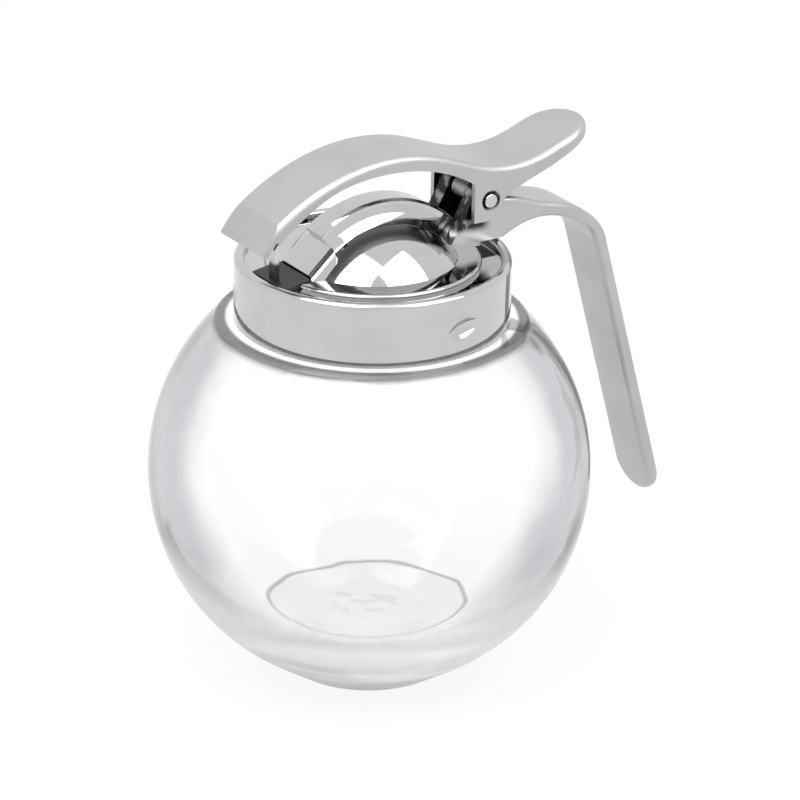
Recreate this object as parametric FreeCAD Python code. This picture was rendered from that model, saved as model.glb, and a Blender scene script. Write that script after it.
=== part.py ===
"""Honey dispenser: a glass globe with a clamped pouring cap, a strip handle and a sprung thumb lever.

Millimetres. The origin is the centre of the glass foot on the table, +Z is up, the spout points
to -X and the handle to +X, and XZ is the mirror plane. Every size that can be set by itself is
written once below; the rest is worked out from those.
"""
import FreeCAD, Part
import math
import os

V = FreeCAD.Vector

# Glass globe
GLOBE_RADIUS = 45.0
FOOT_SINK = 1.8            # how far the foot cuts into the bottom of the sphere
GLASS_WALL = 2.5
FOOT_RADIUS = 16.4
FOOT_RING_WIDTH = 3.0
PUNT_DEPTH = 0.9
FLOOR_THICKNESS = 10.9
FLOOR_RADIUS = 21.2
FLOOR_ROUNDING = 0.8
SHOULDER_WALL = 1.9        # step from the bore to where the shoulder's curve starts
SHOULDER_DROP = 1.4        # of that place below the ledge
SHOULDER_ROUNDING = 3.8
LEDGE_ROUNDING = 1.4
NECK_RADIUS = 26.2
NECK_WALL = 3.6
LEDGE_WIDTH = 4.7          # flat ring of glass around the neck, under the collar
FINISH_ROUNDING = 0.5

# Collar
COLLAR_WALL = 0.8
COLLAR_GAP = 0.8           # between the neck and the collar, where the thread is
COLLAR_LIFT = 0.15         # collar above the glass ledge
COLLAR_HEIGHT = 13.3
LIP_RADIUS = 1.1           # outer radius of the rolled lip
LUG_COUNT = 3
LUG_ANGLE = -82.6          # degrees from +X, of the first lug
LUG_LENGTH = 13.5         # of the spindle that dents the band
LUG_HEIGHT = 5.2
LUG_DEPTH = 0.9
LUG_WALL = 0.5
LUG_TILT = 9.0             # degrees, the lead of the thread
LUG_DROP = 7.2             # below the top of the collar

# Cap
FLANGE_THICKNESS = 1.2
FLANGE_CLEARANCE = 0.1     # between the collar's lip and the flange
DISC_INSET = 3.8           # edge of the disc behind the inside of the lip
DISC_HEIGHT = 1.1
DISC_ROUNDING = 0.7
DOME_SET_IN = 1.1          # radius of the dome's sphere less than the disc's
DOME_RISE = 8.9            # top of the dome above the disc
CAP_WALL = 1.3
SPIGOT_CLEARANCE = 0.4
SPIGOT_DEPTH = 2.6
RIDGE_HEIGHT = 3.7         # of the arched ridge over the dome
RIDGE_HALF_WIDTH = 2.9
RIDGE_FLARE = 3.6          # how far each side wall spreads down to the dome
RIDGE_START = 36.0         # degrees forward of the top, front end of the ridge
RIDGE_END = 46.0           # degrees back of the top, where it runs into the hinge post
NOSE_HALF_WIDTH = 6.85
NOSE_STEP = 0.9            # top of the nose above the dome
NOSE_ROUNDING = 2.5
NOSE_SETBACK = 7.6         # nose's front edge behind the inside of the lip
NOSE_EDGE_DROP = 0.45      # below the top of the collar, so that it looks over the lip
NOSE_WALL = 1.4
MOUTH_SETBACK = 4.0        # mouth's front edge behind the inside of the lip
TROUGH_FLOOR = 0.4         # metal left under the trough in front of the mouth
TROUGH_LIP_GAP = 0.7

# Hinge
PIN_RADIUS = 1.45
PIN_SETBACK = 5.1          # behind the collar's outside
PIN_HEIGHT = 9.5           # above the top of the collar
PIN_RUNNING_FIT = 0.04
PIN_SEAT_FIT = 0.01
PIN_PROUD = 0.25
EAR_COUNTERSINK = 0.6

# Lever, with heights above the top of the collar
LEVER_HALF_WIDTH = 8.0
LEVER_OVERHANG = 2.9       # front edge ahead of the collar
LEVER_PLATE = 1.7
SKIRT_THICKNESS = 1.2
FRONT_FLANGE = 1.2
CREASE_BACK = 4.1          # crease behind the front edge
FRONT_EDGE_HEIGHT = 7.8
CREASE_HEIGHT = 13.5
ARCH_HEIGHT = 22.5
WAIST_HEIGHT = 16.4
PAD_TIP_HEIGHT = 21.8
PAD_REACH = 26.8           # pad's tip behind the pin
PAD_THICKNESS = 2.5
SKIRT_DEPTH = 2.9
EAR_FRONT = 3.9            # in front of the pin
EAR_BACK = 3.0
EAR_BELOW = 4.2
CORNER_SLIT = 0.6           # gap between the front flange and each skirt
LEVER_EDGE_ROUNDING = 1.3

# Gate
GATE_HALF_WIDTH = 5.9
GATE_CLEARANCE = 0.35
GATE_FRONT = 1.0           # thickness of its front edge
STEM_HALF_WIDTH = 1.1
STEM_THICKNESS = 1.0
STEM_SETBACK = 2.0         # stem's front behind the inside of the lip

# Handle
HANDLE_WIDTH = 12.4
STRIP_THICKNESS = 2.8
FINGER_GAP = 17.0          # between the globe and the strip, at the globe's widest
BEND_REACH = 27.9          # inside of the bend behind the pin
BEND_DROP = 15.3           # below the pin
HANDLE_END_HEIGHT = 23.0   # above the table
NECK_UNDERSIDE = 7.1       # below the pin
HANDLE_EDGE_ROUNDING = 1.2
HANDLE_LIP_GAP = 0.35      # above the collar's lip
EAR_GAP = 0.3              # between an ear of the lever and the hinge post
KNUCKLE_RADIUS = 3.3

# Spring
SPRING_WIRE = 0.9
SPRING_TURNS = 6
SPRING_PIN_GAP = 0.3

# Levels and radii that follow from the sizes above
globe_height = GLOBE_RADIUS - FOOT_SINK
bore_radius = NECK_RADIUS - NECK_WALL
ledge_radius = NECK_RADIUS + LEDGE_WIDTH
ledge_height = globe_height + math.sqrt(GLOBE_RADIUS ** 2 - ledge_radius ** 2)
collar_bottom = ledge_height + COLLAR_LIFT
collar_top = collar_bottom + COLLAR_HEIGHT
collar_inside = NECK_RADIUS + COLLAR_GAP
collar_outside = collar_inside + COLLAR_WALL
lip_centre_radius = collar_outside - LIP_RADIUS
lip_inside = lip_centre_radius - LIP_RADIUS
lip_level = collar_top - LIP_RADIUS
flange_top = lip_level - COLLAR_WALL / 2
neck_top = flange_top - FLANGE_THICKNESS
disc_radius = lip_inside - DISC_INSET
dome_radius = disc_radius - DOME_SET_IN
disc_top = flange_top + DISC_HEIGHT
dome_centre = disc_top + DOME_RISE - dome_radius
flange_radius = (NECK_RADIUS + collar_inside) / 2
pin_x = collar_outside - PIN_SETBACK
pin_z = collar_top + PIN_HEIGHT
nose_front_x = -(lip_inside - NOSE_SETBACK)
mouth_front_x = -(lip_inside - MOUTH_SETBACK)
hinge_half_width = LEVER_HALF_WIDTH - SKIRT_THICKNESS - EAR_GAP


def outline(start, *steps):
    """Flat closed face in the XZ plane: a step is a point, (middle, end) of an arc, or a list for a spline."""
    edges = []
    here = V(start[0], 0, start[1])
    for step in steps:
        if isinstance(step, list):
            points = [here] + [V(x, 0, z) for x, z in step]
            curve = Part.BSplineCurve()
            curve.interpolate(points)
            there = points[-1]
        elif isinstance(step[0], tuple):
            middle, end = step
            there = V(end[0], 0, end[1])
            curve = Part.Arc(here, V(middle[0], 0, middle[1]), there)
        else:
            there = V(step[0], 0, step[1])
            curve = Part.LineSegment(here, there)
        edges.append(curve.toShape())
        here = there
    first = V(start[0], 0, start[1])
    if here.distanceToPoint(first) > 1e-6:
        edges.append(Part.LineSegment(here, first).toShape())
    return Part.Face(Part.Wire(edges))


def turned(face):
    """The face turned once round the dispenser's axis."""
    return face.revolve(V(0, 0, 0), V(0, 0, 1), 360)


def slab(face, y_from, y_to):
    """The face pushed out between two places along Y."""
    moved = face.copy()
    moved.translate(V(0, y_from, 0))
    return moved.extrude(V(0, y_to - y_from, 0))


def box(x, y, z):
    """A box from three (low, high) pairs."""
    return Part.makeBox(x[1] - x[0], y[1] - y[0], z[1] - z[0], V(x[0], y[0], z[0]))


def along_y(radius, half_length, x=None, z=None):
    """A cylinder across the dispenser, on the pin's axis unless placed elsewhere."""
    start = V(pin_x if x is None else x, -half_length, pin_z if z is None else z)
    return Part.makeCylinder(radius, 2 * half_length, start, V(0, 1, 0))


def on_circle(centre, radius, degrees):
    """Point (x, z) on a circle in the XZ plane, measured forward (to -X) from its top."""
    a = math.radians(degrees)
    return (-radius * math.sin(a), centre + radius * math.cos(a))


def rounded(shape, radius, wanted):
    """The shape with a fillet on every edge that the test picks."""
    return shape.makeFillet(radius, [e for e in shape.Edges if wanted(e)])


def largest(shape):
    """The main solid of a cut that leaves a scrap behind."""
    return max(shape.Solids, key=lambda s: s.Volume).removeSplitter()


def sphere_at(radius, height):
    """Distance from the axis of a globe-centred sphere at a height."""
    return math.sqrt(radius ** 2 - (height - globe_height) ** 2)


def wall_arc(x, z):
    """Centre x and radius of the inner arc that leaves the globe's middle upright and ends at (x, z)."""
    widest = GLOBE_RADIUS - GLASS_WALL
    rise = z - globe_height
    centre = (widest ** 2 - x ** 2 - rise ** 2) / (2 * (widest - x))
    return centre, widest - centre


def on_wall(centre, radius, x, z, share):
    """Point that share of the way along the inner arc, from the globe's middle to (x, z)."""
    a = share * math.atan2(z - globe_height, x - centre)
    return (centre + radius * math.cos(a), globe_height + radius * math.sin(a))


def glass_jar():
    foot_inside = FOOT_RADIUS - FOOT_RING_WIDTH
    to_foot = math.hypot(FOOT_RADIUS, globe_height)
    foot_angle = math.atan2(FOOT_RADIUS, globe_height) + math.acos(GLOBE_RADIUS / to_foot)
    foot_join = (GLOBE_RADIUS * math.sin(foot_angle), globe_height - GLOBE_RADIUS * math.cos(foot_angle))
    c = LEDGE_ROUNDING
    corner_radius = sphere_at(GLOBE_RADIUS, ledge_height - c)
    f = FINISH_ROUNDING
    g = 0.29 * f
    low = (FLOOR_RADIUS + 0.6 * FLOOR_ROUNDING, FLOOR_THICKNESS + 0.4 * FLOOR_ROUNDING)
    high = (bore_radius + SHOULDER_WALL, ledge_height - SHOULDER_DROP)
    low_arc = wall_arc(*low)
    high_arc = wall_arc(*high)
    face = outline(
        (0, PUNT_DEPTH),
        (foot_inside - PUNT_DEPTH, PUNT_DEPTH),
        (foot_inside, 0),
        (FOOT_RADIUS, 0),
        foot_join,
        ((GLOBE_RADIUS, globe_height), (corner_radius, ledge_height - c)),
        ((corner_radius - 0.32 * c, ledge_height - 0.3 * c), (corner_radius - 1.1 * c, ledge_height)),
        (NECK_RADIUS + f, ledge_height),
        ((NECK_RADIUS + g, ledge_height + g), (NECK_RADIUS, ledge_height + f)),
        (NECK_RADIUS, neck_top - f),
        ((NECK_RADIUS - g, neck_top - g), (NECK_RADIUS - f, neck_top)),
        (bore_radius + f, neck_top),
        ((bore_radius + g, neck_top - g), (bore_radius, neck_top - f)),
        (bore_radius, high[1] + 0.87 * SHOULDER_ROUNDING),
        ((bore_radius + 0.27 * SHOULDER_WALL, high[1] + 0.37 * SHOULDER_ROUNDING), high),
        (on_wall(*high_arc, *high, 0.5), on_wall(*high_arc, *high, 0)),
        (on_wall(*low_arc, *low, 0.5), low),
        (FLOOR_RADIUS - 0.6 * FLOOR_ROUNDING, FLOOR_THICKNESS),
        (0, FLOOR_THICKNESS),
    )
    return turned(face)


def lug(radius, length, depth):
    """Spindle lying along the thread's lead, so that it dents the collar by the depth."""
    half = length / 2
    bow = Part.Arc(V(-half, 0, 0), V(0, 0, radius), V(half, 0, 0)).toShape()
    chord = Part.LineSegment(V(half, 0, 0), V(-half, 0, 0)).toShape()
    spindle = Part.Face(Part.Wire([bow, chord])).revolve(V(0, 0, 0), V(1, 0, 0), 360)
    spindle.rotate(V(0, 0, 0), V(0, 1, 0), -LUG_TILT)
    spindle.translate(V(0, -(collar_outside + radius - depth), collar_top - LUG_DROP))
    return spindle


def collar():
    inside_of_lip = LIP_RADIUS - COLLAR_WALL
    lip_end = flange_top + FLANGE_CLEARANCE
    face = outline(
        (collar_inside, collar_bottom),
        (collar_outside, collar_bottom),
        (collar_outside, lip_level),
        ((lip_centre_radius, collar_top), (lip_inside, lip_level)),
        (lip_inside, lip_end),
        (lip_inside + COLLAR_WALL, lip_end),
        (lip_inside + COLLAR_WALL, lip_level),
        ((lip_centre_radius, lip_level + inside_of_lip), (collar_inside, lip_level)),
    )
    band = turned(face)
    dents = []
    for i in range(LUG_COUNT):
        turn = LUG_ANGLE + 90 + i * 360 / LUG_COUNT
        skin = lug(LUG_HEIGHT / 2 + LUG_WALL, LUG_LENGTH + 2 * LUG_WALL, LUG_DEPTH + LUG_WALL)
        skin = skin.common(Part.makeCylinder(collar_outside - 0.3, COLLAR_HEIGHT, V(0, 0, collar_bottom)))
        dent = lug(LUG_HEIGHT / 2, LUG_LENGTH, LUG_DEPTH)
        for piece in (skin, dent):
            piece.rotate(V(0, 0, 0), V(0, 0, 1), turn)
        band = band.fuse(skin)
        dents.append(dent)
    return band.cut(Part.makeCompound(dents)).removeSplitter()


def ridge():
    """Arched band over the dome: flat on top, with side walls that flare down to it."""
    top = dome_radius + RIDGE_HEIGHT
    foot = RIDGE_HALF_WIDTH + RIDGE_FLARE
    foot_level = math.sqrt(dome_radius ** 2 - foot ** 2) - 0.3
    rounding = 0.5
    points = [(RIDGE_HALF_WIDTH - rounding, top), (RIDGE_HALF_WIDTH, top - rounding)]
    middle = (RIDGE_HALF_WIDTH + 0.22 * RIDGE_FLARE, top - 0.62 * (top - foot_level))
    def at(y, r):
        return V(0, y, dome_centre + r)
    edges = [
        Part.LineSegment(at(-points[0][0], top), at(points[0][0], top)),
        Part.LineSegment(at(*points[0]), at(*points[1])),
        Part.Arc(at(*points[1]), at(*middle), at(foot, foot_level)),
        Part.LineSegment(at(foot, foot_level), at(foot, foot_level - 1)),
        Part.LineSegment(at(foot, foot_level - 1), at(-foot, foot_level - 1)),
        Part.LineSegment(at(-foot, foot_level - 1), at(-foot, foot_level)),
        Part.Arc(at(-foot, foot_level), at(-middle[0], middle[1]), at(-points[1][0], points[1][1])),
        Part.LineSegment(at(-points[1][0], points[1][1]), at(-points[0][0], top)),
    ]
    face = Part.Face(Part.Wire([e.toShape() for e in edges]))
    face.rotate(V(0, 0, dome_centre), V(0, 1, 0), -RIDGE_START)
    return face.revolve(V(0, 0, dome_centre), V(0, 1, 0), RIDGE_START + RIDGE_END)


def nose():
    """Hood over the mouth, a straight run-out of the dome with rounded shoulders."""
    back = on_circle(dome_centre, dome_radius + NOSE_STEP, RIDGE_START)
    root = on_circle(dome_centre, dome_radius - 3.0, RIDGE_START)
    front_z = collar_top + NOSE_EDGE_DROP
    face = outline(back, (nose_front_x, front_z), (nose_front_x, flange_top - FLANGE_THICKNESS), (root[0], neck_top), root)
    block = slab(face, -NOSE_HALF_WIDTH, NOSE_HALF_WIDTH)

    def shoulder(e):
        ends = [v.Point for v in e.Vertexes]
        runs_down = abs(ends[0].z - ends[1].z) > 1 and abs(ends[0].x - ends[1].x) > 1
        return runs_down and min(p.z for p in ends) > front_z - 0.01
    return rounded(block, NOSE_ROUNDING, shoulder)


def tunnel():
    """The way under the nose to the mouth, and the trough in front of it."""
    side = NOSE_HALF_WIDTH - NOSE_WALL
    back = on_circle(dome_centre, dome_radius + NOSE_STEP - NOSE_WALL, RIDGE_START - 8)
    front_z = collar_top + NOSE_EDGE_DROP - NOSE_WALL
    under = neck_top - 1
    way = slab(outline(back, (nose_front_x - 0.01, front_z), (nose_front_x - 0.01, under), (back[0], under)), -side, side)
    mouth_side = GATE_HALF_WIDTH + GATE_CLEARANCE
    above = collar_top + NOSE_EDGE_DROP + 2
    mouth = box((mouth_front_x, nose_front_x), (-mouth_side, mouth_side), (under, above))
    trough_front = -(lip_inside - TROUGH_LIP_GAP)
    trough = box((trough_front, nose_front_x), (-mouth_side, mouth_side), (neck_top + TROUGH_FLOOR, above))
    return way.fuse([mouth, trough])


def cap():
    disc_join = math.sqrt(dome_radius ** 2 - (disc_top - dome_centre) ** 2)
    spigot_outside = bore_radius - SPIGOT_CLEARANCE
    spigot_inside = spigot_outside - CAP_WALL
    spigot_end = neck_top - SPIGOT_DEPTH
    inner = dome_radius - CAP_WALL
    roof_level = disc_top - CAP_WALL
    inner_join = math.sqrt(inner ** 2 - (roof_level - dome_centre) ** 2)
    r = DISC_ROUNDING
    half_turn = math.sqrt(0.5)
    face = outline(
        (0, dome_centre + dome_radius),
        ((dome_radius * math.sin(0.5), dome_centre + dome_radius * math.cos(0.5)), (disc_join, disc_top)),
        (disc_radius - r, disc_top),
        ((disc_radius - r + r * half_turn, disc_top - r + r * half_turn), (disc_radius, disc_top - r)),
        (disc_radius, flange_top),
        (flange_radius, flange_top),
        (flange_radius, neck_top),
        (spigot_outside, neck_top),
        (spigot_outside, spigot_end),
        (spigot_inside, spigot_end),
        (spigot_inside, roof_level),
        (inner_join, roof_level),
        ((inner * math.sin(0.4), dome_centre + inner * math.cos(0.4)), (0, dome_centre + inner)),
    )
    shell = turned(face)
    hollow = Part.makeSphere(inner, V(0, 0, dome_centre)).common(
        Part.makeCylinder(inner, 2 * DOME_RISE, V(0, 0, roof_level)))
    shell = shell.fuse([ridge(), nose()]).cut([hollow, tunnel()])
    below = Part.makeCylinder(spigot_inside, SPIGOT_DEPTH + 4, V(0, 0, roof_level - SPIGOT_DEPTH - 4))
    return shell.cut(below).removeSplitter()


def strip_lean():
    """Sideways run of the handle's strip for each millimetre down, so that the finger gap comes out right."""
    bend_x = pin_x + BEND_REACH
    bend_z = pin_z - BEND_DROP
    return (GLOBE_RADIUS + FINGER_GAP - bend_x) / (bend_z - globe_height)


def handle(cap_shape):
    lean = strip_lean()
    across = STRIP_THICKNESS * math.sqrt(1 + lean ** 2)
    bend = (pin_x + BEND_REACH, pin_z - BEND_DROP)
    end_x = bend[0] + lean * (bend[1] - HANDLE_END_HEIGHT)
    outer_bend = (bend[0] + across, bend[1])
    under = pin_z - NECK_UNDERSIDE
    over_lip = collar_top + HANDLE_LIP_GAP
    foot_front = disc_radius - 8.0
    face = outline(
        (foot_front, disc_top),
        (disc_radius - 0.3, disc_top),
        (disc_radius - 0.3, over_lip),
        (collar_outside + 0.4, over_lip),
        [(collar_outside + 3.0, under - 0.9), (collar_outside + 7.5, under + 0.1),
         (bend[0] - 7.6, bend[1] + 7.1), (bend[0] - 2.3, bend[1] + 4.0), bend],
        (end_x, HANDLE_END_HEIGHT),
        (end_x + across, HANDLE_END_HEIGHT),
        outer_bend,
        [(outer_bend[0] - 1.5, outer_bend[1] + 3.6), (outer_bend[0] - 4.2, outer_bend[1] + 6.5),
         (pin_x + 20.5, pin_z - 5.2), (pin_x + 13.4, pin_z - 3.3), (pin_x + 8.4, pin_z - 1.5),
         (pin_x + 3.0, pin_z - 0.7)],
        (pin_x + KNUCKLE_RADIUS * math.cos(math.radians(-10)), pin_z + KNUCKLE_RADIUS * math.sin(math.radians(-10))),
        ((pin_x, pin_z + KNUCKLE_RADIUS), (pin_x - KNUCKLE_RADIUS, pin_z)),
        (foot_front + 2.2, disc_top + 3.6),
    )
    half = HANDLE_WIDTH / 2
    body = slab(face, -half, half)
    tip_low = HANDLE_END_HEIGHT + 0.01

    def tip_corner(e):
        ends = [v.Point for v in e.Vertexes]
        return len(ends) == 2 and max(p.z for p in ends) < tip_low and abs(ends[0].y - ends[1].y) < 0.01
    body = rounded(body, half - 0.15, tip_corner)

    def long_edge(e):
        box_of = e.BoundBox
        on_side = abs(abs(box_of.YMin) - half) < 0.01 and box_of.YLength < 0.01
        return on_side and box_of.XMin > pin_x + 2.5 and box_of.XMax > collar_outside + 2 and e.Length > 2
    body = rounded(body, HANDLE_EDGE_ROUNDING, long_edge)
    hinge_side = min(hinge_half_width, half)
    for side in (-1, 1):
        trim = box((foot_front - 1, pin_x + 7.2), sorted((side * hinge_side, side * (half + 1))),
                   (disc_top - 1, pin_z + KNUCKLE_RADIUS + 1))
        body = body.cut(trim)
    slot_half = (SPRING_TURNS + 0.6) * SPRING_WIRE / 2
    slot = box((foot_front - 1, pin_x + 4.4), (-slot_half, slot_half), (pin_z - 4.6, pin_z + KNUCKLE_RADIUS + 1))
    body = body.cut([slot, along_y(PIN_RADIUS + PIN_SEAT_FIT, half + 1)])
    return largest(body.cut(cap_shape))


def lever_top():
    """Stations (x, z) along the top of the lever, from the crease to the pad's tip."""
    crease_x = -(collar_outside + LEVER_OVERHANG - CREASE_BACK)
    arch_x = -1.5
    waist_x = pin_x + 2.8
    tip_x = pin_x + PAD_REACH
    arch = collar_top + ARCH_HEIGHT
    waist = collar_top + WAIST_HEIGHT
    tip = collar_top + PAD_TIP_HEIGHT
    crease = (crease_x, collar_top + CREASE_HEIGHT)
    return [
        crease,
        (0.49 * crease_x + 0.51 * arch_x, arch - 0.25 * (arch - crease[1])),
        (arch_x, arch),
        (0.53 * arch_x + 0.47 * waist_x, arch - 0.30 * (arch - waist)),
        (waist_x - 2.6, waist + 0.25),
        (waist_x + 7.6, waist + 0.1),
        (tip_x - 6.5, tip - 1.9),
        (tip_x, tip),
    ]


def lever():
    top = lever_top()
    crease, tip = top[0], top[-1]
    front = (-(collar_outside + LEVER_OVERHANG), collar_top + FRONT_EDGE_HEIGHT)
    ear_front = pin_x - EAR_FRONT
    ear_back = pin_x + EAR_BACK
    ear_bottom = pin_z - EAR_BELOW
    skirt_end = (front[0] + 1.0, front[1] - 0.7)
    arch = top[2]
    under_tip = (tip[0], tip[1] - PAD_THICKNESS)
    side = outline(
        front, crease, top[1:], under_tip,
        [(tip[0] - 6.5, under_tip[1] - 2.3), (pin_x + 14.3, pin_z + 4.7), (pin_x + 8.8, pin_z + 2.7),
         (ear_back + 0.4, pin_z)],
        (ear_back, ear_bottom + 1.2),
        ((ear_back - 0.35, ear_bottom + 0.35), (ear_back - 1.2, ear_bottom)),
        (ear_front, ear_bottom),
        (ear_front, top[4][1] - SKIRT_DEPTH - 0.2),
        [(top[3][0] - 2.0, top[3][1] - SKIRT_DEPTH + 0.3), (arch[0] - 2.0, arch[1] - SKIRT_DEPTH),
         (top[1][0], top[1][1] - SKIRT_DEPTH + 0.5), (crease[0] + 4.2, crease[1] - 0.4), skirt_end],
    )
    body = slab(side, -LEVER_HALF_WIDTH, LEVER_HALF_WIDTH)
    body = body.common(pad_plan(tip[0] - 0.3))
    ridge_line = max(side.Edges, key=lambda e: e.BoundBox.ZMax * 1000 + e.BoundBox.XLength)

    def top_edge(e):
        middle = e.valueAt((e.FirstParameter + e.LastParameter) / 2)
        level = Part.Vertex(V(middle.x, 0, middle.z)).distToShape(ridge_line)[0]
        return level < 0.01 and e.BoundBox.XLength > 1
    body = rounded(body, LEVER_EDGE_ROUNDING, top_edge)
    inner_half = LEVER_HALF_WIDTH - SKIRT_THICKNESS
    lowered = [(x, z - LEVER_PLATE) for x, z in top[:6]]
    lean = (crease[0] - front[0]) / (crease[1] - front[1])
    inner_front_x = front[0] + FRONT_FLANGE * math.sqrt(1 + lean ** 2)
    drop = 12.0
    channel = outline(
        (inner_front_x - drop * lean, front[1] - drop),
        (lowered[0][0] + FRONT_FLANGE * 0.6, lowered[0][1] + 0.2),
        lowered[1:],
        (lowered[5][0] - 1.5, ear_bottom - 4),
    )
    body = body.cut(slab(channel, -inner_half, inner_half))
    cutters = [along_y(PIN_RADIUS + PIN_RUNNING_FIT, LEVER_HALF_WIDTH + 1)]
    slit_x = inner_front_x - drop * lean
    slit_top = crease[1] - 2 * LEVER_PLATE
    slit_run = (slit_top - front[1] + drop) * lean
    slit = outline((slit_x, front[1] - drop), (slit_x + slit_run, slit_top), (slit_x + slit_run + CORNER_SLIT, slit_top),
                   (slit_x + 2 * CORNER_SLIT, front[1] - drop))
    for s in (-1, 1):
        cutters.append(slab(slit, *sorted((s * (inner_half - 0.1), s * (LEVER_HALF_WIDTH + 1)))))
        cutters.append(Part.makeCone(
            PIN_RADIUS, PIN_RADIUS + EAR_COUNTERSINK, EAR_COUNTERSINK,
            V(pin_x, s * (LEVER_HALF_WIDTH - EAR_COUNTERSINK), pin_z), V(0, s, 0)))
    return body.cut(cutters).removeSplitter()


def pad_plan(tip_x):
    """Plan outline of the lever, drawn at Z = 0 and pushed up: straight sides and a round pad."""
    half = LEVER_HALF_WIDTH
    back = tip_x - half
    front = -(collar_outside + LEVER_OVERHANG + 1)
    corners = [V(back, half, 0), V(front, half, 0), V(front, -half, 0), V(back, -half, 0)]
    edges = [Part.makePolygon(corners)]
    edges.append(Part.Arc(corners[3], V(tip_x, 0, 0), corners[0]).toShape())
    return Part.Face(Part.Wire(edges)).extrude(V(0, 0, collar_top + 2 * ARCH_HEIGHT))


def gate(lever_shape):
    """Flap that closes the mouth, on a stem that hangs from the lever."""
    back = nose_front_x - GATE_CLEARANCE
    front = -(lip_inside - TROUGH_LIP_GAP) + GATE_CLEARANCE
    bottom = neck_top + TROUGH_FLOOR + GATE_CLEARANCE
    top = collar_top + NOSE_EDGE_DROP - 0.4
    flap = slab(outline((back, top), (back, bottom), (front, bottom), (front, bottom + GATE_FRONT)), -GATE_HALF_WIDTH, GATE_HALF_WIDTH)
    stem_front = -(lip_inside - STEM_SETBACK)
    stem_back = stem_front + STEM_THICKNESS
    roof = collar_top + ARCH_HEIGHT
    stem = box((stem_front, stem_back), (-STEM_HALF_WIDTH, STEM_HALF_WIDTH), (bottom + 0.3, roof))
    over = lever_top()
    above = slab(outline(over[0], over[1:3], (over[2][0], roof + 9), (over[0][0], roof + 9)), -9, 9)
    joined = flap.fuse(stem).cut([lever_shape, above])
    return largest(joined)


def pivot_pin():
    half = LEVER_HALF_WIDTH + PIN_PROUD
    pin = along_y(PIN_RADIUS, half)
    return pin.makeFillet(0.3, [e for e in pin.Edges if abs(abs(e.BoundBox.YMin) - half) < 0.01 and e.BoundBox.YLength < 0.01])


def return_spring():
    """Close-wound torsion spring on the pin, with its turns run together, and two legs."""
    w = SPRING_WIRE / 2
    mean = PIN_RADIUS + SPRING_PIN_GAP + w
    neck = 0.35 * w
    length = SPRING_TURNS * SPRING_WIRE

    def at(y, r):
        return V(pin_x, y, pin_z + r)
    edges = []
    for i in range(SPRING_TURNS):
        low = -length / 2 + i * SPRING_WIRE
        edges.append(Part.Arc(at(low, mean + neck), at(low + w, mean + w), at(low + SPRING_WIRE, mean + neck)).toShape())
    corners = [at(length / 2, mean + neck), at(length / 2, mean - w), at(-length / 2, mean - w), at(-length / 2, mean + neck)]
    edges.append(Part.makePolygon(corners))
    wire = Part.Wire(edges)
    coil = Part.Face(wire).revolve(V(pin_x, 0, pin_z), V(0, 1, 0), 360)
    end = length / 2 - w
    fixed_leg = Part.makeCylinder(w, 4.2, V(pin_x - mean, -end, pin_z - 4.2), V(0, 0, 1))
    working_leg = Part.makeCylinder(w, 4.6, V(pin_x, end, pin_z + mean), V(1, 0, 0))
    return coil.fuse([fixed_leg, working_leg]).removeSplitter()


def save(name, shape):
    solids = shape.Solids
    if len(solids) != 1 or not solids[0].isValid():
        raise ValueError("%s should be one valid solid, and has %d" % (name, len(solids)))
    solids[0].exportStep("parts/%s.step" % name)
    b = solids[0].BoundBox
    print("%-14s %9.1f mm3  x %.1f..%.1f  y %.1f..%.1f  z %.1f..%.1f" % (
        name, solids[0].Volume, b.XMin, b.XMax, b.YMin, b.YMax, b.ZMin, b.ZMax))


os.makedirs("parts", exist_ok=True)
cap_shape = cap()
lever_shape = lever()
save("glass_jar", glass_jar())
save("collar", collar())
save("cap", cap_shape)
save("handle", handle(cap_shape))
save("lever", lever_shape)
save("gate", gate(lever_shape))
save("pivot_pin", pivot_pin())
save("return_spring", return_spring())
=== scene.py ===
import math

import bpy
from mathutils import Matrix, Vector


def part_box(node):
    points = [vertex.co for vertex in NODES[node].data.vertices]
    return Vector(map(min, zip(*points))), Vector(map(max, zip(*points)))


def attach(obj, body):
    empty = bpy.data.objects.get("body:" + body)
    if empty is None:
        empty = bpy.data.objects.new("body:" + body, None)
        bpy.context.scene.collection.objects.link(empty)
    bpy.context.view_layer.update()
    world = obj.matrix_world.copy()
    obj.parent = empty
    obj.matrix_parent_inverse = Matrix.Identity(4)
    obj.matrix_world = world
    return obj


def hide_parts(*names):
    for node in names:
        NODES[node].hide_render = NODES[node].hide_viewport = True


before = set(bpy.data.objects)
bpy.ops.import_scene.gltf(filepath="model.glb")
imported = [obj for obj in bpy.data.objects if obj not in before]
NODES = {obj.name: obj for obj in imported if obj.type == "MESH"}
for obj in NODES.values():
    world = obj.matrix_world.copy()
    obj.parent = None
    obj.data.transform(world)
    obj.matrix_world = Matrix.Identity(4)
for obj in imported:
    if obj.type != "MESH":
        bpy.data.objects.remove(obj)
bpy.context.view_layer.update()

MM = 0.001

# The glass, in millimetres, as the solid has it
GLOBE_R = 45.0
CENTRE_Z = 43.2
FOOT_R = 16.4
LEDGE_R = 30.9
NECK_R = 26.2
BORE_R = 22.6
FLOOR_Z = 10.9
FLOOR_R = 21.2
WALL = 2.5
LEDGE_CORNER = 1.0
RIM_ROUND = 0.5
BORE_ROUND = 3.8
SHOULDER_OUT = 1.9
SHOULDER_DROP = 1.4
FLOOR_CORNER = (0.5, 0.35)
LATHE_STEPS = 160
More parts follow.
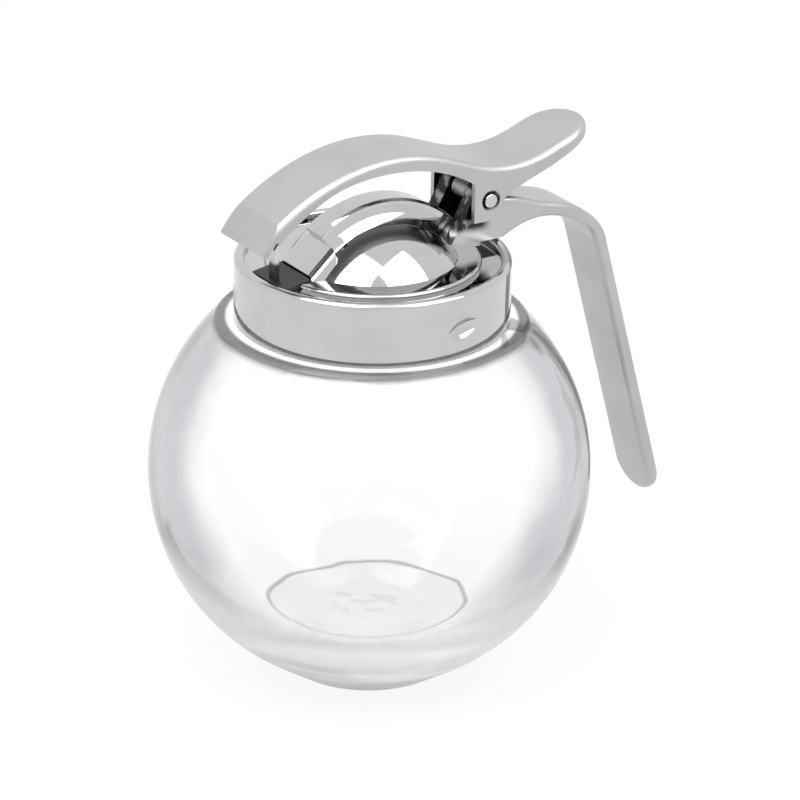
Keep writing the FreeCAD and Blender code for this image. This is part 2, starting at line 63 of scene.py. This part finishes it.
# The foot is almost flat under the globe and stands on a narrow ring
FOOT = [
    (0, 0.12), (4.0, 0.11), (8.0, 0.08), (11.0, 0.04), (12.8, 0.01),
    (13.8, 0.0), (14.6, 0.0), (15.6, 0.03), (16.3, 0.2), (17.2, 0.62),
]
# How the inner wall wanders, in metres, and where in millimetres
WAVE_SIZE = 0.02
WAVE_DEPTH = 0.0007
WAVE_FROM_OUTSIDE = (1.2, 1.5)
WAVE_TOP = (74, 6)
WAVE_FOOT = (27, 10)

# Camera: distance to the middle of the globe, its direction, and where it aims
GLOBE = Vector((0, 0, CENTRE_Z * MM))
CAMERA_AZIMUTH = -33.0
CAMERA_ELEVATION = 24.0
CAMERA_LEAN = 1.0
CAMERA_DISTANCE = 0.9
AIM_RIGHT = 0.00624
AIM_UP = 0.01322
LENS = 199.1

# Studio
WHITE = (1.0, 1.0, 1.0, 1.0)
SOFT_WHITE = (0.95, 0.97, 1.0, 1.0)
AMBIENT = 0.7
FLOOR_SIZE = 6.0
FLOOR_COLOUR = (0.9, 0.9, 0.9, 1.0)
FLOOR_GLOW = 0.88
LAMP_DISTANCE = 1.0
LAMP_SIZE = 0.8
# Light that runs along inside the thick glass turns many times before it leaves
BOUNCES = 32

# Shares of the light that the bare metals give back
CHROME = (0.55, 0.556, 0.556)
SATIN = (0.50, 0.50, 0.497)
SPRING_STEEL = (0.42, 0.42, 0.42)
PLATING_DRIFT = 0.93
# Painted shade in the hinge's recesses, mottled between these two tones
PAINTED_SHADE_DARK = (0.03, 0.03, 0.03, 1)
PAINTED_SHADE_PALE = (0.30, 0.30, 0.30, 1)

# Places on the pourer, in metres: each pair is where a zone fades out and in. The pin's recess, the ears'
# insides and the post's block get painted shade, and below the stem's foot the gate's flap is painted dark
# as shade.
PIN_X = 0.0227
PIN_Z = 0.0989
PIN_RECESS = (0.0023, 0.0020)
EAR_INSIDE = (0.0070, 0.0068)
EAR_START = (0.010, 0.014)
EAR_TOP = (0.1041, 0.1037)
POST_END = (0.0245, 0.0215)
POST_FOOT = (0.0915, 0.0935)
STEM_FOOT = (0.0925, 0.0915)

# Gate plastic: pale on the stem; the flap's near black is painted shade under the lever's front
FLAP_PAINTED_SHADE = ((0.012, 0.012, 0.013, 1), (0.028, 0.027, 0.027, 1))
STEM = ((0.66, 0.66, 0.66, 1), (0.74, 0.74, 0.74, 1))

# Glass finish, with painted shade on the wall and floor: places in metres
GLASS_IOR = 1.42
GLASS_CLEAR = (0.99, 0.995, 1.0, 1)
# Colour of the painted shade in the glass
GLASS_PAINTED_SHADE = (0.02, 0.021, 0.024, 1)
# Painted shade of the wall, from square on to full slant
EDGE_PAINTED_SHADE = [
    (0.0, 1.0), (0.30, 0.96), (0.39, (0.70, 0.705, 0.72)), (0.46, (0.45, 0.455, 0.475)),
    (0.52, (0.34, 0.345, 0.365)), (0.68, (0.31, 0.315, 0.335)), (0.80, (0.12, 0.122, 0.132)),
    (1.0, (0.08, 0.081, 0.09)),
]
OUTER_SKIN = (0.0436, 0.0442)
# Painted shade along the shoulder's line
SHOULDER_Z = 0.0758
SHOULDER_WIDTH = (0.0017, 0.0003)
SHOULDER_DEPTH = 0.94
# Painted streaks of shade low on the wall
LOW_WALL = (0.020, 0.008)
LOW_DEPTH = 0.5
# Where the wall's painted edge shade is eased towards clear, low down above the foot
PALE_WALL = (0.036, 0.022)
PALE_FOOT = (0.005, 0.011)
PALE_SHARE = 0.62
# Painted shade: a dark ring round the glass floor, and a fainter pool within it
RING_RADIUS = FLOOR_R * MM
RING_WIDTH = (0.0008, 0.0001)
RING_DEPTH = 0.75
FLOOR_LEVEL = FLOOR_Z * MM
FLOOR_SKIN = (0.0014, 0.0006)
POOL_EDGE = 0.0004
POOL_DEPTH = 0.13
# Specks that mottle the painted pool
SPECK_ZONE = (0.012, 0.005)
SPECK_DEPTH = 0.2
BLUR_SLANT = (0.28, 0.50)
BLUR_WALL = (0.034, 0.020)


class Socket:
    """A shader socket whose operators add Math nodes to its tree."""

    def __init__(self, tree, socket):
        self.tree = tree
        self.socket = socket

    def math(self, operation, *others):
        return node(self.tree, "ShaderNodeMath", {"operation": operation}, [self, *others])

    def __add__(self, other):
        return self.math("ADD", other)

    __radd__ = __add__

    def __mul__(self, other):
        return self.math("MULTIPLY", other)

    __rmul__ = __mul__

    def __sub__(self, other):
        return self.math("SUBTRACT", other)

    def __rsub__(self, other):
        return node(self.tree, "ShaderNodeMath", {"operation": "SUBTRACT"}, [other, self])

    def part(self, name):
        """Another output of the same node."""
        return Socket(self.tree, self.socket.node.outputs[name])


def node(tree, kind, settings=None, values=None, output=0):
    """Adds a node: its settings first, then values or links by socket name or order."""
    made = tree.nodes.new(kind)
    for key, value in (settings or {}).items():
        if key == "stops":
            ramp = made.color_ramp
            while len(ramp.elements) < len(value):
                ramp.elements.new(0.5)
            for element, (place, colour) in zip(ramp.elements, value):
                element.position = place
                element.color = (*colour, 1) if isinstance(colour, tuple) else (colour, colour, colour, 1)
        else:
            setattr(made, key, value)
    pairs = values.items() if isinstance(values, dict) else enumerate(values or [])
    for key, value in pairs:
        if isinstance(value, Socket):
            tree.links.new(value.socket, made.inputs[key])
        else:
            made.inputs[key].default_value = value
    return Socket(tree, made.outputs[output]) if len(made.outputs) else made


def mix(tree, factor, low, high):
    """Colour mix."""
    return node(tree, "ShaderNodeMix", {"data_type": "RGBA"}, {0: factor, 6: low, 7: high}, 2)


def smooth(value, low, high):
    """Smooth step of a value, from none at low to full at high."""
    return node(value.tree, "ShaderNodeMapRange", {"interpolation_type": "SMOOTHSTEP"},
                {0: value, 1: low, 2: high, 3: 0.0, 4: 1.0})


def noise(place, scale, detail):
    return node(place.tree, "ShaderNodeTexNoise", None, {"Vector": place, "Scale": scale, "Detail": detail})


def spread_out(place, factors):
    """Place with each axis multiplied by its own factor."""
    return node(place.tree, "ShaderNodeVectorMath", {"operation": "MULTIPLY"}, {0: place, 1: factors})


def axes(place):
    split = node(place.tree, "ShaderNodeSeparateXYZ", None, [place])
    return split, split.part("Y"), split.part("Z")


def new_material(name):
    """A material with its tree, its shader, and the place on the piece."""
    mat = bpy.data.materials.new(name)
    mat.use_nodes = True
    tree = mat.node_tree
    return mat, tree, tree.nodes["Principled BSDF"], node(tree, "ShaderNodeTexCoord").part("Object")


def relief(tree, strength, distance, height):
    return node(tree, "ShaderNodeBump", None, {"Strength": strength, "Distance": distance, "Height": height})


def join(shader, tone, gloss, bump):
    for key, value in (("Base Color", tone), ("Roughness", gloss), ("Normal", bump)):
        value.tree.links.new(value.socket, shader.inputs[key])


def camera():
    a, e, q = (math.radians(d) for d in (CAMERA_AZIMUTH, CAMERA_ELEVATION, CAMERA_LEAN))
    back = Vector((math.sin(a) * math.cos(e), -math.cos(a) * math.cos(e), math.sin(e)))
    level_right = Vector((math.cos(a), math.sin(a), 0))
    level_up = back.cross(level_right)
    right = level_right * math.cos(q) + level_up * math.sin(q)
    up = level_up * math.cos(q) - level_right * math.sin(q)
    place = GLOBE + back * CAMERA_DISTANCE
    aim = GLOBE + right * AIM_RIGHT + up * AIM_UP
    back = (place - aim).normalized()
    right = up.cross(back).normalized()
    up = back.cross(right)
    data = bpy.data.cameras.new("camera")
    data.lens = LENS
    data.sensor_width = 36.0
    data.clip_start = 0.01
    data.clip_end = 20.0
    cam = bpy.data.objects.new("camera", data)
    cam.matrix_world = Matrix([(right[i], up[i], back[i], place[i]) for i in range(3)]).to_4x4()
    bpy.context.scene.collection.objects.link(cam)
    bpy.context.scene.camera = cam


def background_rays(tree):
    """Full for the rays of the eye, metal and glass, which all see the same background."""
    paths = node(tree, "ShaderNodeLightPath")
    seen = paths.part("Is Camera Ray").math("MAXIMUM", paths.part("Is Glossy Ray"))
    return seen.math("MAXIMUM", paths.part("Is Transmission Ray"))


def studio():
    """White room that the eye, metal and glass all see alike, and a plain soft light on the object."""
    scene = bpy.context.scene
    scene.view_settings.view_transform = "Standard"
    scene.cycles.max_bounces = BOUNCES
    scene.cycles.glossy_bounces = BOUNCES
    scene.cycles.transmission_bounces = BOUNCES
    world = bpy.data.worlds.new("studio")
    scene.world = world
    world.use_nodes = True
    tree = world.node_tree
    tree.nodes.clear()
    plain = node(tree, "ShaderNodeBackground", None, [WHITE, 1.0])
    lit = node(tree, "ShaderNodeBackground", None, [SOFT_WHITE, AMBIENT])
    both = node(tree, "ShaderNodeMixShader", None, [background_rays(tree), lit, plain])
    node(tree, "ShaderNodeOutputWorld", None, [both])


def floor():
    """Pale floor that keeps the object's shadow."""
    bpy.ops.mesh.primitive_plane_add(size=FLOOR_SIZE, location=(0, 0, 0))
    made = bpy.context.active_object
    made.name = "floor"
    mat = bpy.data.materials.new("pale_floor")
    mat.use_nodes = True
    tree = mat.node_tree
    tree.nodes.clear()
    matt = node(tree, "ShaderNodeBsdfDiffuse", None, {"Color": FLOOR_COLOUR})
    glow = node(tree, "ShaderNodeEmission", None, {"Color": WHITE, "Strength": 1.0})
    both = node(tree, "ShaderNodeMixShader", None, [background_rays(tree) * FLOOR_GLOW, matt, glow])
    node(tree, "ShaderNodeOutputMaterial", None, [both])
    made.data.materials.append(mat)


def lamp(name, bearing, elevation, power):
    """Square soft lamp, by its bearing from the camera's side of the object."""
    a = math.radians(CAMERA_AZIMUTH - 90 + bearing)
    e = math.radians(elevation)
    way = Vector((math.cos(a) * math.cos(e), math.sin(a) * math.cos(e), math.sin(e)))
    data = bpy.data.lights.new(name, "AREA")
    data.size = LAMP_SIZE
    data.energy = power
    made = bpy.data.objects.new(name, data)
    made.location = GLOBE + way * LAMP_DISTANCE
    made.rotation_euler = way.to_track_quat("Z", "Y").to_euler()
    bpy.context.scene.collection.objects.link(made)


def metal(name, colour, rough, spread, grain, depth, painted_shade_zone=None):
    """Plated metal whose gloss and tone drift a little. Its last argument gives where painted shade darkens
    it, from x, y, z.
    """
    mat, tree, shader, place = new_material(name)
    shader.inputs["Metallic"].default_value = 1.0
    drift = noise(place, 90.0, 3.0)
    fine = noise(place, grain, 2.0)
    gloss = (drift - 0.5) * spread + (fine - 0.5) * (0.5 * spread) + rough
    darker = tuple(PLATING_DRIFT * c for c in colour)
    tone = mix(tree, smooth(drift, 0.35, 0.7), (*colour, 1), (*darker, 1))
    # Painted shade, mottled, laid where the zone function is full
    if painted_shade_zone:
        blotch = noise(place, 420.0, 3.0)
        painted_shade_tone = mix(tree, smooth(blotch, 0.48, 0.66), PAINTED_SHADE_DARK, PAINTED_SHADE_PALE)
        tone = mix(tree, painted_shade_zone(*axes(place)), tone, painted_shade_tone)
    join(shader, tone, gloss, relief(tree, depth, 0.0002, fine))
    return mat


def pin_distance(x, z):
    across, up = x - PIN_X, z - PIN_Z
    return (across * across + up * up).math("SQRT")


def lever_painted_shade(x, y, z):
    """Painted shade inside the ears, and in the recess round the pin."""
    inside = smooth(y.math("ABSOLUTE"), *EAR_INSIDE) * smooth(x, *EAR_START) * smooth(z, *EAR_TOP)
    return inside.math("MAXIMUM", smooth(pin_distance(x, z), *PIN_RECESS))


def handle_painted_shade(x, y, z):
    """Painted shade on the block that sits between the ears."""
    return smooth(x, *POST_END) * smooth(z, *POST_FOOT)


def gate_plastic_painted_shade():
    """Dull plastic: pale on the stem, and near black on the flap that closes the mouth, which is painted
    shade.
    """
    mat, tree, shader, place = new_material("gate_plastic_painted_shade")
    height = axes(place)[2]
    fine = noise(place, 1400.0, 2.0)
    grain = smooth(fine, 0.3, 0.7)
    # Below the stem's foot the flap takes the near black of painted shade
    tone = mix(tree, smooth(height, *STEM_FOOT), mix(tree, grain, *STEM), mix(tree, grain, *FLAP_PAINTED_SHADE))
    join(shader, tone, 0.4 + fine * 0.15, relief(tree, 0.05, 0.0002, fine))
    return mat


def wall_painted_shade(place, height, facing, waves, broad):
    """Painted shade on the glass wall: darker at a slant, at the shoulder's line and low down."""
    tree = place.tree
    slant = facing + (waves - 0.5) * 0.20 + (broad - 0.5) * 0.12
    edge = node(tree, "ShaderNodeValToRGB", {"stops": EDGE_PAINTED_SHADE}, [slant])
    paler = smooth(height, *PALE_WALL) * smooth(height, *PALE_FOOT) * PALE_SHARE
    edge = mix(tree, paler, edge, GLASS_CLEAR)
    off_shoulder = (height - SHOULDER_Z + (broad - 0.5) * 0.0015).math("ABSOLUTE")
    shoulder = smooth(off_shoulder, *SHOULDER_WIDTH) * SHOULDER_DEPTH
    streak = noise(spread_out(place, (1, 1, 5)), 60.0, 2.0)
    low = smooth(height, *LOW_WALL) * smooth(streak, 0.42, 0.60) * LOW_DEPTH
    return mix(tree, (1 - shoulder) * (1 - low), GLASS_PAINTED_SHADE, edge)


def floor_painted_shade(tone, place, height, waves, inward):
    """Adds painted shade: the grey ring round the glass floor, and a faint, speckled darkening within it."""
    tree = place.tree
    flat = spread_out(place, (1, 1, 0))
    spoke = node(tree, "ShaderNodeVectorMath", {"operation": "LENGTH"}, {0: flat}, "Value")
    off_ring = (spoke - RING_RADIUS + (waves - 0.5) * 0.0012).math("ABSOLUTE")
    on_floor = smooth((height - FLOOR_LEVEL).math("ABSOLUTE"), *FLOOR_SKIN) * inward
    ring = smooth(off_ring, *RING_WIDTH) * on_floor
    pool = smooth(spoke, RING_RADIUS + POOL_EDGE, RING_RADIUS - POOL_EDGE) * on_floor
    specks = smooth(noise(place, 210.0, 1.0), 0.50, 0.60) * smooth(spoke, *SPECK_ZONE) * SPECK_DEPTH
    tone = mix(tree, pool * (specks + POOL_DEPTH), tone, GLASS_PAINTED_SHADE)
    return mix(tree, ring * RING_DEPTH, tone, GLASS_PAINTED_SHADE)


def clear_glass():
    """Clear glass with painted shade: its wall darkens at a slant, and its ring and shoulder show as painted
    grey lines.
    """
    mat, tree, shader, place = new_material("clear_glass")
    shader.inputs["Transmission Weight"].default_value = 1.0
    shader.inputs["IOR"].default_value = GLASS_IOR
    height = axes(place)[2]
    waves = noise(place, 75.0, 1.5)
    broad = noise(place, 28.0, 1.0)
    facing = node(tree, "ShaderNodeLayerWeight", None, {"Blend": 0.5}).part("Facing")
    # The wall's painted shade is laid once, on its outer face where light goes in
    inward = 1 - node(tree, "ShaderNodeNewGeometry").part("Backfacing")
    from_middle = node(tree, "ShaderNodeVectorMath", {"operation": "DISTANCE"},
                       {0: place, 1: tuple(GLOBE)}, "Value")
    outer = smooth(from_middle, *OUTER_SKIN) * inward
    tone = mix(tree, outer, GLASS_CLEAR, wall_painted_shade(place, height, facing, waves, broad))
    tone = floor_painted_shade(tone, place, height, waves, inward)
    blur = smooth(facing, *BLUR_SLANT) * (smooth(height, *BLUR_WALL) * 0.20 + 0.04)
    join(shader, tone, blur, relief(tree, 0.08, 0.001, waves))
    return mat


def arc(centre, radius, start, end, count):
    """Points (x, z) along an arc, angles in degrees from +X towards +Z, without its first point."""
    angles = [math.radians(start + (end - start) * (i + 1) / count) for i in range(count)]
    return [(centre[0] + radius * math.cos(a), centre[1] + radius * math.sin(a)) for a in angles]


def lathe(name, profile, steps):
    """Turns a profile of (x, z) points in millimetres round the Z axis, from axis to axis."""
    bpy.ops.object.select_all(action="DESELECT")
    bpy.ops.mesh.primitive_plane_add(size=MM, location=(0, 0, 0))
    made = bpy.context.active_object
    made.name = name
    bpy.ops.object.mode_set(mode="EDIT")
    bpy.ops.mesh.select_all(action="SELECT")
    bpy.ops.mesh.merge(type="CENTER")
    here = profile[0]
    bpy.ops.transform.translate(value=(0, 0, here[1] * MM))
    for there in profile[1:]:
        move = ((there[0] - here[0]) * MM, 0, (there[1] - here[1]) * MM)
        bpy.ops.mesh.extrude_region_move(TRANSFORM_OT_translate={"value": move})
        here = there
    bpy.ops.mesh.select_all(action="SELECT")
    bpy.ops.mesh.spin(steps=steps, angle=2 * math.pi, center=(0, 0, 0), axis=(0, 0, 1))
    bpy.ops.mesh.select_all(action="SELECT")
    bpy.ops.mesh.remove_doubles(threshold=0.000004)
    bpy.ops.mesh.normals_make_consistent(inside=False)
    bpy.ops.object.mode_set(mode="OBJECT")
    bpy.ops.object.shade_smooth()
    return made


def wall_arc(x, z):
    """Centre and radius of the inner arc that leaves the globe's middle upright and ends at (x, z)."""
    widest = GLOBE_R - WALL
    rise = z - CENTRE_Z
    centre = (widest ** 2 - x ** 2 - rise ** 2) / (2 * (widest - x))
    return centre, widest - centre


def slope(x, z, centre):
    """Angle in degrees of (x, z) as seen from an inner arc's centre."""
    return math.degrees(math.atan2(z - CENTRE_Z, x - centre))


def outside_profile(ledge_z, top):
    """Foot, globe, ledge and neck, up to the rim."""
    to_foot = math.hypot(FOOT_R, CENTRE_Z)
    foot_tip = math.degrees(math.atan2(FOOT_R, CENTRE_Z) + math.acos(GLOBE_R / to_foot))
    rise = math.degrees(math.asin((ledge_z - LEDGE_CORNER - CENTRE_Z) / GLOBE_R))
    points = FOOT + arc((0, CENTRE_Z), GLOBE_R, foot_tip - 90, rise, 84)
    edge_x = points[-1][0]
    points += [
        (edge_x - 0.15, ledge_z - 0.62), (edge_x - 0.42, ledge_z - 0.28),
        (edge_x - 0.85, ledge_z - 0.06), (edge_x - 1.3, ledge_z),
    ]
    points += [(NECK_R + 0.6, ledge_z), (NECK_R + 0.18, ledge_z + 0.18), (NECK_R, ledge_z + 0.6)]
    points += [(NECK_R, top - 3), (NECK_R, top - RIM_ROUND)]
    return points + arc((NECK_R - RIM_ROUND, top - RIM_ROUND), RIM_ROUND, 0, 90, 4)


def inside_profile(ledge_z, top):
    """Rim, bore, inner wall and floor, down to the axis."""
    shoulder = (BORE_R + SHOULDER_OUT, ledge_z - SHOULDER_DROP)
    low = (FLOOR_R + FLOOR_CORNER[0], FLOOR_Z + FLOOR_CORNER[1])
    high_c, high_r = wall_arc(*shoulder)
    low_c, low_r = wall_arc(*low)
    bore_z = shoulder[1] + 3.3
    points = [(BORE_R + RIM_ROUND, top)]
    points += arc((BORE_R + RIM_ROUND, top - RIM_ROUND), RIM_ROUND, 90, 180, 4)
    points += [(BORE_R, top - 4), (BORE_R, bore_z)]
    points += arc((BORE_R + BORE_ROUND, bore_z), BORE_ROUND, 180, 240, 6)[:-1]
    points += [shoulder] + arc((high_c, CENTRE_Z), high_r, slope(*shoulder, high_c), 0, 40)
    points += arc((low_c, CENTRE_Z), low_r, 0, slope(*low, low_c), 44)
    points += [(FLOOR_R + 0.1, FLOOR_Z + 0.12), (FLOOR_R - 0.5, FLOOR_Z), (FLOOR_R - 1.5, FLOOR_Z)]
    return points + [(15.0, FLOOR_Z), (8.0, FLOOR_Z), (3.0, FLOOR_Z), (0, FLOOR_Z)]


def share(value, width):
    """Value over width, kept between none and one."""
    return min(max(value / width, 0), 1)


def wavy_inside(piece):
    """Lets the inner wall wander a little above the floor, as blown glass does."""
    skin, fade = WAVE_FROM_OUTSIDE
    group = piece.vertex_groups.new(name="inside")
    for v in piece.data.vertices:
        x, y, z = (c / MM for c in v.co)
        deep = (GLOBE_R - skin) - math.hypot(math.hypot(x, y), z - CENTRE_Z)
        height_share = share(WAVE_TOP[0] - z, WAVE_TOP[1]) * share(z - WAVE_FOOT[0], WAVE_FOOT[1])
        weight = share(deep, fade) * height_share
        if weight > 0:
            group.add([v.index], weight, "REPLACE")
    clouds = bpy.data.textures.new("blown_glass", "CLOUDS")
    clouds.noise_scale = WAVE_SIZE
    change = piece.modifiers.new("waves", "DISPLACE")
    change.texture = clouds
    change.texture_coords = "LOCAL"
    change.vertex_group = "inside"
    change.mid_level = 0.5
    change.strength = WAVE_DEPTH
    bpy.context.view_layer.objects.active = piece
    bpy.ops.object.modifier_apply(modifier="waves")


def glass_globe():
    ledge_z = CENTRE_Z + math.sqrt(GLOBE_R ** 2 - LEDGE_R ** 2)
    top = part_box("glass_jar")[1].z / MM
    profile = outside_profile(ledge_z, top) + inside_profile(ledge_z, top)
    piece = lathe("glass_globe", profile, LATHE_STEPS)
    wavy_inside(piece)
    return piece


def put(piece, mat, body, slot, *stands_for):
    """Gives a new piece its finish and the body it rides on."""
    piece.data.materials.clear()
    piece.data.materials.append(mat)
    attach(piece, body)
    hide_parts(*stands_for)


def coat(mat, *names):
    """Gives carried-over nodes their finish."""
    for name in names:
        piece = NODES[name]
        piece.data.materials.clear()
        piece.data.materials.append(mat)


camera()
studio()
floor()
lamp("key", -40, 60, 9.0)
lamp("fill", 60, 50, 5.0)
put(glass_globe(), clear_glass(), "jar", "glass", "glass_jar")
coat(metal("mirror_chrome", CHROME, 0.045, 0.03, 900.0, 0.01), "collar", "cap", "pivot_pin")
# The lever and handle carry painted shade in the hinge's recesses
coat(metal("satin_nickel", SATIN, 0.42, 0.08, 2600.0, 0.12, lever_painted_shade), "lever")
coat(metal("satin_nickel_handle", SATIN, 0.31, 0.04, 2600.0, 0.02, handle_painted_shade), "handle")
coat(metal("spring_steel", SPRING_STEEL, 0.25, 0.06, 1800.0, 0.05), "return_spring")
coat(gate_plastic_painted_shade(), "gate")
